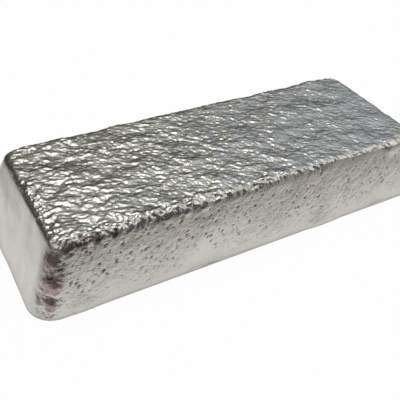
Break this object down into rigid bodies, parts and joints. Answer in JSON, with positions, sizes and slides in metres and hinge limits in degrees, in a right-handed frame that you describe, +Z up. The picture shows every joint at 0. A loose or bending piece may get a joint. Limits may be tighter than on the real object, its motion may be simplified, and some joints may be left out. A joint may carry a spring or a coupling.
{
  "type": "tin ingot",
  "caption": "Small cast tin bar with sloping walls, a rolled shoulder, round corners and a wrinkled top, lying on its wide flat base as raw stock for melting.",
  "frame": {"origin": "middle of the base, on the floor", "axes": "+X along the bar, +Y across it to the back, +Z up"},
  "size_m": [0.1404, 0.0552, 0.0207],
  "materials": {
    "cast_tin": "satin"
  },
  "bodies": {
    "root": {"ingot": "cast_tin"}
  },
  "joints": []
}
